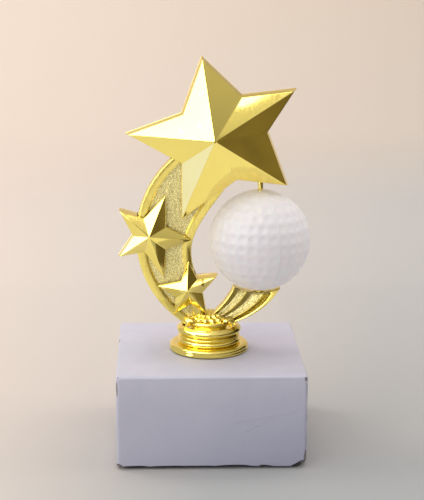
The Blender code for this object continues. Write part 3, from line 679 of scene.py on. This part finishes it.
gold_star = plated("big_star_plating", 0.085, wave_mm=0.34, wave_scale=42.0)
gold_medium = plated("medium_star_plating", 0.11, wave_mm=0.18, wave_scale=80.0)
gold_small = plated("small_star_plating", 0.11, wave_mm=0.16, wave_scale=90.0)
gold_rim = plated("crescent_plating", 0.22, wave_mm=0.10, wave_scale=70.0)
gold_panel = plated("crescent_panel_plating", 0.42, grain_mm=0.07, grain_scale=1500.0)
gold_ribbon = plated("ribbon_plating", 0.24, wave_mm=0.06, wave_scale=90.0)
# Ribbon slopes and shade bands: stippled plating darkened with painted shade, lightly on the slopes
# and heavily in the shade bands
gold_slope = plated("ribbon_slope_plating", 0.46, grain_mm=0.06, grain_scale=1700.0, painted_shade=0.22)
gold_painted_shade = plated("ribbon_painted_shade_plating", 0.30, grain_mm=0.05, grain_scale=1700.0, painted_shade=0.68)
RIBBON_GOLD = [gold_ribbon, gold_slope, gold_painted_shade]
gold_foot = plated("foot_plating", 0.075, wave_mm=0.03, wave_scale=70.0)
gold_leaf = plated("collar_plating", 0.30, wave_mm=0.05, wave_scale=200.0)
gold_pin = plated("pin_plating", 0.13, wave_mm=0.01)
block_coating = painted_block()
block_chip = broken_stone()
pad_felt = felt()
zinc = metal("fastening_zinc", (0.66, 0.67, 0.66), (0.42, 0.42, 0.40), 0.34, (1.0, 1.0, 0.1))
brass = metal("insert_brass_turned", (0.80, 0.60, 0.26), (0.55, 0.38, 0.14), 0.32,
              (1.0, 1.0, 6.0))
ball_white = white_ball()


# ---- block and fastening

def rounded_square(side, corner_radius, inset, height, steps=8):
    """A level square with rounded corners, drawn in by an inset."""
    reach = 0.5 * side - inset
    radius = max(corner_radius - inset, 0.3)
    ring = []
    for quarter in range(4):
        middle = math.radians(45.0 + 90.0 * quarter)
        centre_x = math.copysign(reach - radius, math.cos(middle))
        centre_y = math.copysign(reach - radius, math.sin(middle))
        for step in range(steps + 1):
            angle = 90.0 * quarter + 90.0 * step / steps
            ring.append((*polar((centre_x, centre_y), angle, radius), height))
    return ring


def build_block():
    """The block, its stepped hole, a broken front corner, chipped edges and scratches."""
    mesh = skin([rounded_square(BLOCK_SIDE, BLOCK_CORNER_RADIUS, inset, height)
                 for inset, height in BLOCK_LEVELS])
    bore = turned_solid([(COUNTERBORE[0], 0.0), (COUNTERBORE[0], COUNTERBORE[1]),
                         (ROD_HOLE_RADIUS, COUNTERBORE[1]), (ROD_HOLE_RADIUS, BLOCK_TOP + 1.0)])
    mesh = carve(mesh, bore)
    mesh.materials.append(block_coating)
    mesh.materials.append(block_chip)
    for number, (centre, size, lean) in enumerate(BLOCK_CHIPS + BLOCK_DENTS):
        cutter = lump(centre, size, math.radians(lean), 1.7 * number)
        cutter.materials.append(block_coating)
        cutter.materials.append(block_chip)
        bared = int(number < len(BLOCK_CHIPS))
        cutter.polygons.foreach_set("material_index", [bared] * len(cutter.polygons))
        mesh = carve(mesh, cutter)
    piece("block_body", mesh, [block_coating, block_chip], "base_block", sharp_degrees=30.0)


def build_pad():
    """Felt pad with a slightly ragged cut edge."""
    ring = rounded_square(PAD_SIDE, PAD_CORNER_RADIUS, 0.0, 0.0, 10)
    path = []
    for start, end in zip(ring, ring[1:] + ring[:1]):
        pieces = max(1, int(math.dist(start, end) / PAD_EDGE_STEP))
        for step in range(pieces):
            path.append([a + (b - a) * step / pieces for a, b in zip(start, end)])
    rings = []
    for inset, height in PAD_LEVELS:
        level = []
        for x, y, _ in path:
            fray = 0.12 * noise.noise(Vector((x * 0.9, y * 0.9, height * 4.0)))
            shrink = 1.0 - (inset + 0.12 + fray) / (0.5 * PAD_SIDE)
            level.append((x * shrink, y * shrink, height))
        rings.append(level)
    hole = turned_solid([(COUNTERBORE[0], -1.0), (COUNTERBORE[0], PAD_THICKNESS + 1.0)], 64)
    piece("pad_body", carve(skin(rings), hole), [pad_felt], "base_pad")


def thread_radius(outer, height, angle, bottom, top):
    """Radius of a screw thread at a height and an angle, fading at both ends."""
    turn = (height / THREAD_PITCH + angle / (2.0 * math.pi)) % 1.0
    groove = THREAD_DEPTH * (1.0 - abs(2.0 * turn - 1.0))
    ends = max(0.0, 0.7 - min(height - bottom, top - height))
    return outer - groove - 0.6 * ends


def build_rod_and_washer():
    """Threaded rod and pressed washer."""
    bottom, top = ROD_HEIGHTS
    count = int((top - bottom) / (THREAD_PITCH / 6.0))
    rings = []
    for row in range(count + 1):
        height = bottom + (top - bottom) * row / count
        rings.append(turn_ring(
            lambda angle: thread_radius(ROD_RADIUS, height, angle, bottom, top), height, 32))
    piece("rod_threaded", skin(rings), [zinc], "tie_rod", sharp_degrees=50.0)
    low, high = WASHER_HEIGHTS
    inner, outer = THREAD_HOLE_RADIUS, WASHER_RADIUS
    profile = [(inner, low + 0.1), (inner + 0.15, low), (outer - 0.35, low),
               (outer - 0.08, low + 0.12), (outer, low + 0.4), (outer, high - 0.15),
               (outer - 0.15, high), (inner + 0.3, high), (inner, high - 0.3)]
    piece("washer_pressed", turned_tube(profile, 72), [zinc], "washer", sharp_degrees=40.0)


def build_nut():
    """Hexagon nut, domed at both ends."""
    low, high = NUT_HEIGHTS
    corner = 0.5 * NUT_ACROSS_FLATS / math.cos(math.radians(30.0))

    def reach(angle, dome):
        fold = (angle + math.pi / 6.0) % (math.pi / 3.0) - math.pi / 6.0
        return min(0.5 * NUT_ACROSS_FLATS / math.cos(fold), corner - dome)

    rings = []
    for dome, height in ((0.62, low), (0.3, low + 0.16), (0.0, low + 0.55), (0.0, high - 0.55),
                         (0.3, high - 0.16), (0.62, high)):
        rings.append(turn_ring(lambda angle: reach(angle, dome), height, 72))
    hole = turned_solid([(THREAD_HOLE_RADIUS, low - 1.0), (THREAD_HOLE_RADIUS, high + 1.0)])
    piece("nut_hexagon", carve(skin(rings), hole), [zinc], "hex_nut", sharp_degrees=25.0)


def build_insert():
    """Brass insert in the foot, knurled on its two wide bands."""
    def knurl(angle, radius):
        step = round(angle * KNURL_STEPS / (2.0 * math.pi))
        return radius - (KNURL_DEPTH if radius > KNURL_FROM and step % 3 == 0 else 0.0)

    rings = [turn_ring(lambda angle: knurl(angle, radius), height, KNURL_STEPS)
             for radius, height in INSERT_PROFILE]
    piece("insert_knurled", tube(rings), [brass], "foot_insert", sharp_degrees=30.0)


# ---- foot and collar

def build_foot():
    """Turned and plated foot: flange with a stepped lip, three beads and a cup."""
    profile = [*FOOT_INSIDE, *FLANGE]
    for groove, crest, low, high in BEADS:
        for share in (step / BEAD_STEPS for step in range(BEAD_STEPS + 1)):
            bulge = math.sin(math.pi * share) ** 0.75
            profile.append((groove + (crest - groove) * bulge, low + (high - low) * share))
    piece("foot_turned", turned_tube([*profile, *CUP], FOOT_SEGMENTS), [gold_foot], "foot",
          sharp_degrees=65.0)


def leaf(angle_degrees, start, rise, tip, width, curl, thickness):
    """One acanthus leaf: a creased, scalloped blade that arches from start to tip."""
    spine = (start, rise, (tip[0] - curl, rise[1] + 0.4), tip)
    turn = Matrix.Rotation(math.radians(angle_degrees), 3, "Z")

    def pair(along, side):
        reach, height = curve_point(spine, along)
        ahead, above = curve_point(spine, min(1.0, along + 0.03))
        behind, below = curve_point(spine, max(0.0, along - 0.03))
        tilt = math.atan2(above - below, ahead - behind)
        half = 0.5 * width * (0.25 + 0.75 * math.sin(math.pi * min(1.0, 0.12 + 0.9 * along)))
        half *= 1.0 + 0.10 * math.cos(22.0 * along)
        crease = 0.38 * (1.0 - abs(side)) ** 0.7 - 0.5 * side * side
        vein = 0.09 * math.cos(26.0 * along - 5.0 * abs(side))
        lift = crease + vein * (1.0 - abs(side))
        return [turn @ Vector((reach - depth * math.sin(tilt), half * side,
                               height + depth * math.cos(tilt)))
                for depth in (lift, lift - thickness)]

    return plate([row / LEAF_ROWS for row in range(LEAF_ROWS + 1)],
                 [2.0 * column / LEAF_COLUMNS - 1.0 for column in range(LEAF_COLUMNS + 1)], pair)


def build_collar():
    """Polished band with two tiers of leaves and a curled leaf at each side."""
    band = turned_solid(COLLAR_BAND, 120)
    slot = prism([(-12.0, SLOT_FLOOR), (12.0, SLOT_FLOOR), (12.0, 56.0), (-12.0, 56.0)],
                 -SLOT_HALF_WIDTH, SLOT_HALF_WIDTH)
    piece("collar_band", carve(band, slot), [gold_leaf], "leaf_collar", sharp_degrees=40.0)
    for tier, angles, *shape in LEAF_TIERS:
        for number, angle in enumerate(angles):
            piece("collar_leaf_%s_%02d" % (tier, number + 1), leaf(angle, *shape), [gold_leaf],
                  "leaf_collar", sharp_degrees=60.0)


# ---- crescent and ribbon

def pin_seat(profile):
    """The hole that a pin sits in, on the ball's axis."""
    seat = turned_solid(profile, 32)
    seat.transform(Matrix.Translation((BALL_CENTRE[0], 0.0, 0.0)))
    return seat


def crescent_edges(share):
    """Outer and inner edge points of the crescent, from its top end to its stem."""
    drop = (CRESCENT_CENTRE[1] - STEM_BOTTOM) / CRESCENT_RADIUS
    stem_angle = 180.0 + math.degrees(math.asin(drop))
    angle = CRESCENT_TOP_ANGLE + (stem_angle - CRESCENT_TOP_ANGLE) * share
    outer = polar(CRESCENT_CENTRE, angle, CRESCENT_RADIUS)
    if share < 0.5:
        inner = curve_point(INNER_EDGE_UPPER, 2.0 * share)
    else:
        inner = curve_point(INNER_EDGE_LOWER, 2.0 * share - 1.0)
    return outer, inner


def rim_arc(start, end, outside_first, lean):
    """A rim between two positions; lean is how much lower its top is at the far end."""
    points = []
    for step in range(RIM_STEPS + 1):
        share = step / RIM_STEPS
        arch = math.sin(math.pi * share) ** 0.16
        edge = share if outside_first else 1.0 - share
        floor_level = RIM_SHOULDER + (RIM_INNER_FOOT - RIM_SHOULDER) * edge
        crest = RIM_HEIGHT - lean * share
        points.append((start + (end - start) * share,
                       floor_level + (crest - floor_level) * arch))
    return points


def crescent_section(width, share):
    """Half of the crescent's cross-section, outer rim first."""
    outer_rim = min(OUTER_RIM_WIDTH + share, 0.42 * width)
    inner_rim = min(INNER_RIM_WIDTH, 0.40 * width)
    left = outer_rim + PANEL_GROOVE
    right = width - inner_rim - PANEL_GROOVE
    panel_edge = PANEL_HEIGHT - PANEL_EDGE_DROP
    panel = [(left + (right - left) * step / PANEL_STEPS, PANEL_HEIGHT)
             for step in range(1, PANEL_STEPS)]
    return [(0.0, HALF_GAP), *rim_arc(0.0, outer_rim, True, OUTER_RIM_LEAN), (left, panel_edge),
            *panel, (right, panel_edge),
            *rim_arc(width - inner_rim, width, False, INNER_RIM_LEAN), (width, HALF_GAP)]


def crescent_half():
    """The front half of the crescent."""
    rings = []
    for share in (step / CRESCENT_STEPS for step in range(CRESCENT_STEPS + 1)):
        outer, inner = crescent_edges(share)
        width = math.dist(outer, inner)
        run = (inner[0] - outer[0]) / width
        rise = (inner[1] - outer[1]) / width
        rings.append([(outer[0] + run * across, -depth, outer[1] + rise * across)
                      for across, depth in crescent_section(width, share)])
    mesh = skin(rings)
    first = RIM_STEPS + 2
    last = first + PANEL_STEPS
    for polygon in mesh.polygons:
        columns = [index % len(rings[0]) for index in polygon.vertices]
        if len(columns) == 4 and first <= min(columns) and max(columns) <= last:
            polygon.material_index = 1
    return mesh


def ribbon_point(across, share):
    """A point of the ribbon: across it from left to right, up it from the stem."""
    left = curve_point(RIBBON_LEFT_EDGE, share)
    right = curve_point(RIBBON_RIGHT_EDGE, share)
    left_end = RIBBON_LEFT_EDGE[3]
    right_end = RIBBON_RIGHT_EDGE[3]
    ball = (BALL_CENTRE[0], BALL_CENTRE[2])
    start, finish = (math.degrees(math.atan2(end[1] - ball[1], end[0] - ball[0]))
                     for end in (left_end, right_end))
    cradle = polar(ball, start + (finish - start) * across, BALL_RADIUS + CRADLE_GAP)
    point = []
    for axis in (0, 1):
        straight = left[axis] + (right[axis] - left[axis]) * across
        chord = left_end[axis] + (right_end[axis] - left_end[axis]) * across
        point.append(straight + share ** 2 * (cradle[axis] - chord))
    return point


def ribbon_half():
    """The front half of the ribbon: saw-tooth pleats and a plain lip at the cradle."""
    stations = sorted(set([step / 48 for step in range(49)] + [row[0] for row in RIBBON_PLEATS]))
    levels = [step / 40 for step in range(39)]
    levels += [RIBBON_LIP_START, 0.968, 0.976, RIBBON_ROUND_START, 0.993, 1.0]

    def pair(share, across):
        lip = min(1.0, max(0.0, (share - RIBBON_LIP_START) / 0.02))
        rounding = 0.35 * max(0.0, (share - RIBBON_ROUND_START) / 0.015) ** 2
        x, z = ribbon_point(across, share)
        depth = along_table(RIBBON_PLEATS, across)
        depth += lip * (RIBBON_LIP_DEPTH - depth) * 0.75 - rounding
        return (x, -depth, z), (x, -HALF_GAP, z)

    def kind(column):
        middle = 0.5 * (stations[column] + stations[column + 1])
        for number, bands in enumerate((SLOPE_BANDS, SHADE_BANDS)):
            if any(low < middle < high for low, high in bands):
                return number + 1
        return 0

    mesh = plate(levels, stations, pair, kind)
    for material in RIBBON_GOLD:
        mesh.materials.append(material)
    return carve(mesh, pin_seat(LOWER_SEAT))


def build_crescent_and_ribbon():
    """Front and back halves of the crescent and of the ribbon."""
    for label, half, materials in (("crescent", crescent_half, [gold_rim, gold_panel]),
                                   ("ribbon", ribbon_half, RIBBON_GOLD)):
        piece(label + "_shell_front", half(), materials, label + "_front")
        piece(label + "_shell_back", mirrored(half()), materials, label + "_back")


# ---- stars

def star_outline(star, scale):
    """Tips and valleys in turn round a star, drawn in towards its centre."""
    outline = []
    for tip, valley in zip(star["tips"], star["valleys"]):
        outline.append(polar(star["centre"], tip[0], tip[1] * scale))
        outline.append(polar(star["centre"], valley[0], valley[1] * scale))
    return outline


def star_half(star):
    """Front half of a star: facets rising to a point over a drafted side."""
    count = 2 * len(star["tips"])
    vertices = [(x, -HALF_GAP, z) for x, z in star_outline(star, 1.0)]
    vertices += [(x, -STAR_EDGE, z) for x, z in star_outline(star, 1.0 - star["draft"])]
    apex = len(vertices)
    vertices.append((star["apex"][0], -star["height"], star["apex"][1]))
    around = [(step, (step + 1) % count) for step in range(count)]
    faces = []
    for step, after in around:
        faces.append((step, after, count + after, count + step))
        faces.append((count + step, count + after, apex))
    if "hollow" in star:
        start = len(vertices)
        vertices += [(x, -HALF_GAP, z) for x, z in star_outline(star, star["hollow"])]
        vertices.append((star["apex"][0], STAR_ROOF - star["height"], star["apex"][1]))
        for step, after in around:
            faces.append((step, after, start + after, start + step))
            faces.append((start + step, start + after, start + count))
    else:
        faces.append(tuple(range(count)))
    return closed_mesh(vertices, faces)


def crescent_pocket():
    """Clearance round the front half of the crescent."""
    edges = [crescent_edges(step / 60) for step in range(61)]
    outline = [outer for outer, _ in edges] + [inner for _, inner in edges[::-1]]
    return prism(grown_outline(outline, FIT_GAP), 1.0, -(RIM_HEIGHT + FIT_GAP))


def build_stars():
    """Front and back halves of the three stars, with softened ridges."""
    for label, material in (("big_star", gold_star), ("medium_star", gold_medium),
                            ("small_star", gold_small)):
        star = STARS[label]
        for side in ("front", "back"):
            half = evaluated(star_half(star), "BEVEL", width=star["bevel"], segments=3,
                             limit_method="ANGLE", angle_limit=math.radians(12.0))
            half = carve(half, crescent_pocket())
            if label == "big_star":
                half = carve(half, pin_seat(UPPER_SEAT))
            if side == "back":
                half = mirrored(half)
            piece(label + "_shell_" + side, half, [material], label + "_" + side,
                  sharp_degrees=14.0)


# ---- ball and pins

def build_pins():
    """The two pins the ball spins on."""
    for name, profile, node in (("pin_upper", UPPER_PIN, "upper_pivot"),
                                ("pin_lower", LOWER_PIN, "lower_pivot")):
        piece(name, turned_solid(profile), [gold_pin], node, moved=(BALL_CENTRE[0], 0.0, 0.0))


def dimple_drop(tilt, turn):
    """How far the ball's skin dips at a direction; tilt is from the top, turn about it."""
    latitude = 90.0 - math.degrees(tilt)
    nearest = round(latitude / DIMPLE_ROW_STEP)
    deepest = 0.0
    for row in (nearest - 1, nearest, nearest + 1):
        if abs(row) >= len(DIMPLES_IN_ROW):
            continue
        gap = 2.0 * math.pi / DIMPLES_IN_ROW[abs(row)]
        east = math.degrees(turn % gap - 0.5 * gap) * math.cos(math.radians(latitude))
        far = math.hypot(east, latitude - row * DIMPLE_ROW_STEP) / DIMPLE_REACH
        if far < 1.0:
            deepest = max(deepest, (1.0 - far * far) ** 1.5)
    return DIMPLE_DEPTH * deepest


def half_ball(turn_from):
    """Half of the hollow ball on the +Y side; turn_from keeps the dimples in one lattice."""
    hole_tilt = math.asin(PIN_HOLE_RADIUS / BALL_RADIUS)
    turns = [0.0, 0.3, 0.7, 1.2]
    turns += [1.2 + 177.6 * step / BALL_STEPS for step in range(1, BALL_STEPS + 1)]
    turns += [179.3, 179.7, 180.0]
    tilts = [hole_tilt + (math.pi - 2.0 * hole_tilt) * step / BALL_STEPS
             for step in range(BALL_STEPS + 1)]

    def pair(degrees, tilt):
        turn = math.radians(degrees)
        from_seam = min(degrees, 180.0 - degrees) * math.sin(tilt)
        seam = max(0.0, 1.0 - from_seam / SEAM_REACH)
        reach = BALL_RADIUS - dimple_drop(tilt, turn + turn_from) * (1.0 - seam)
        reach += SEAM_RIDGE * seam
        return [(radius * math.sin(tilt) * math.cos(turn),
                 radius * math.sin(tilt) * math.sin(turn) + SEAM_GAP,
                 radius * math.cos(tilt)) for radius in (reach, BALL_RADIUS - BALL_WALL)]

    return plate(turns, tilts, pair)


def build_ball():
    """Two half shells joined on a plane through the spin axis."""
    for name, node, degrees in (("ball_shell_right", "ball_half_right", BALL_SEAM_ANGLE - 90.0),
                                ("ball_shell_left", "ball_half_left", BALL_SEAM_ANGLE + 90.0)):
        mesh = half_ball(math.radians(degrees))
        mesh.transform(Matrix.Rotation(math.radians(degrees), 4, "Z"))
        piece(name, mesh, [ball_white], node, body="ball", sharp_degrees=60.0, moved=BALL_CENTRE)


build_block()
build_pad()
build_rod_and_washer()
build_nut()
build_insert()
build_foot()
build_collar()
build_crescent_and_ribbon()
build_stars()
build_pins()
build_ball()


# ---- stage, light and camera

def stage_object(name, vertices, faces, material, centre=(0.0, 0.0, 0.0), aim=None):
    """A mesh that belongs to the studio and not to the object."""
    mesh = bpy.data.meshes.new(name)
    mesh.from_pydata(vertices, [], faces)
    mesh.materials.append(material)
    thing = place_in_scene(name, mesh, centre, aim)
    return thing


def build_stage():
    """Pale sweep: a floor that curves up into a wall, its colour graded with painted light: warmer
    and brighter on the left, painted shade to the right and low in the view.
    """
    look = Surface("sweep_paper")
    window = look.add("ShaderNodeTexCoord", "Window", {})
    tone = None
    for level, reach, left, right in SWEEP_PAINTED_LIGHT_TONES:
        row = look.blend(look.spread(look.part(window, "X"), 0.0, reach, 0.0, 1.0), left, right)
        if tone is None:
            tone = row
        else:
            share = look.spread(look.part(window, "Y"), below, level, 0.0, 1.0)
            tone = look.blend(share, tone, row)
        below = level
    fibre = look.cloud(260.0, 4.0)
    look.set(Base_Color=look.blend(look.spread(fibre, 0.3, 0.7, 0.0, 0.04), tone, (0.5, 0.5, 0.5)),
             Roughness=0.75)
    look.bump(fibre, 0.03)
    path = [(SWEEP_NEAR, 0.0), (SWEEP_BEND, 0.0)]
    for step in range(1, 25):
        angle = math.radians(90.0 * step / 24)
        path.append((SWEEP_BEND + SWEEP_RADIUS * math.sin(angle),
                     SWEEP_RADIUS - SWEEP_RADIUS * math.cos(angle)))
    path.append((SWEEP_BEND + SWEEP_RADIUS, SWEEP_TOP))
    vertices = []
    for y, z in path:
        vertices += [(-SWEEP_HALF_WIDTH, y, z), (SWEEP_HALF_WIDTH, y, z)]
    faces = [(2 * row, 2 * row + 1, 2 * row + 3, 2 * row + 2) for row in range(len(path) - 1)]
    sweep = stage_object("stage_sweep", vertices, faces, look.material)
    sweep.data.shade_smooth()


def card(name, centre, aim, size, colour, strength, far_share=1.0, patchy=0.7):
    """A panel seen only as a reflection, the way a photographer's card or softbox is.

    Its brightness falls from strength to strength * far_share along +X, unevenly.
    """
    material = bpy.data.materials.new(name)
    material.use_nodes = True
    material.node_tree.nodes.clear()
    nodes = NodeTree(material.node_tree, "Generated")
    uneven = nodes.cloud(2.5, 2.0)
    wander = nodes.arithmetic("MULTIPLY_ADD", uneven, patchy, nodes.part(nodes.place, "X"))
    fade = nodes.spread(wander, 0.5 * patchy, 1.0 + 0.5 * patchy, strength, strength * far_share)
    glow = nodes.add("ShaderNodeEmission", "Emission", {"Color": colour, "Strength": fade})
    nodes.finish("ShaderNodeOutputMaterial", glow)
    across = 0.5 * size[0]
    up = 0.5 * size[1]
    corners = [(-across, -up, 0.0), (across, -up, 0.0), (across, up, 0.0), (-across, up, 0.0)]
    thing = stage_object(name, corners, [(0, 1, 2, 3)], material, centre, aim)
    for rays in ("camera", "diffuse", "shadow", "transmission", "volume_scatter"):
        setattr(thing, "visible_" + rays, False)


def soft_light(name, centre, aim, side, power, colour):
    """A broad lamp that lights matt surfaces but isn't mirrored in the plating."""
    lamp = bpy.data.lights.new(name, "AREA")
    lamp.shape = "RECTANGLE"
    lamp.size, lamp.size_y = side
    lamp.energy = power
    lamp.color = colour
    thing = place_in_scene(name, lamp, centre, aim)
    thing.visible_glossy = False
    thing.visible_camera = False


def build_world():
    """Soft surroundings: matt surfaces get an even glow, plating mirrors a graded room."""
    world = bpy.data.worlds.new("room")
    bpy.context.scene.world = world
    world.use_nodes = True
    world.node_tree.nodes.clear()
    nodes = NodeTree(world.node_tree, "Generated")
    height = nodes.spread(nodes.part(nodes.place, "Z"), 0.0, 1.0, 0.15, 0.77)
    left = nodes.spread(nodes.part(nodes.place, "X"), 0.9, -0.9, -0.1, 0.55)
    mirrored_room = nodes.add("ShaderNodeBackground", "Background", {
        "Color": (1.0, 0.95, 0.88), "Strength": nodes.arithmetic("ADD", height, left)})
    even = nodes.add("ShaderNodeBackground", "Background", {
        "Color": (1.0, 0.985, 0.97), "Strength": 0.63})
    glossy = nodes.add("ShaderNodeLightPath", "Is Glossy Ray", {})
    nodes.finish("ShaderNodeOutputWorld", nodes.add("ShaderNodeMixShader", "Shader", {
        "Fac": glossy, 1: even, 2: mirrored_room}))


def build_camera():
    """Camera in front, a little left of square, looking down on the block."""
    azimuth, pitch, roll = (math.radians(angle) for angle in CAMERA_ANGLES)
    camera = bpy.data.cameras.new("camera")
    camera.sensor_width = 36.0
    camera.lens = CAMERA_LENS
    camera.clip_start = 0.01
    thing = place_in_scene("camera", camera)
    thing.matrix_world = (Matrix.Translation(CAMERA_PLACE) @ Matrix.Rotation(azimuth, 4, "Z")
                          @ Matrix.Rotation(0.5 * math.pi - pitch, 4, "X")
                          @ Matrix.Rotation(roll, 4, "Z"))
    bpy.context.scene.camera = thing


build_stage()
build_world()
for card_settings in CARDS:
    card(*card_settings)
for lamp_settings in LAMPS:
    soft_light(*lamp_settings)
build_camera()
bpy.context.scene.view_settings.view_transform = "Standard"
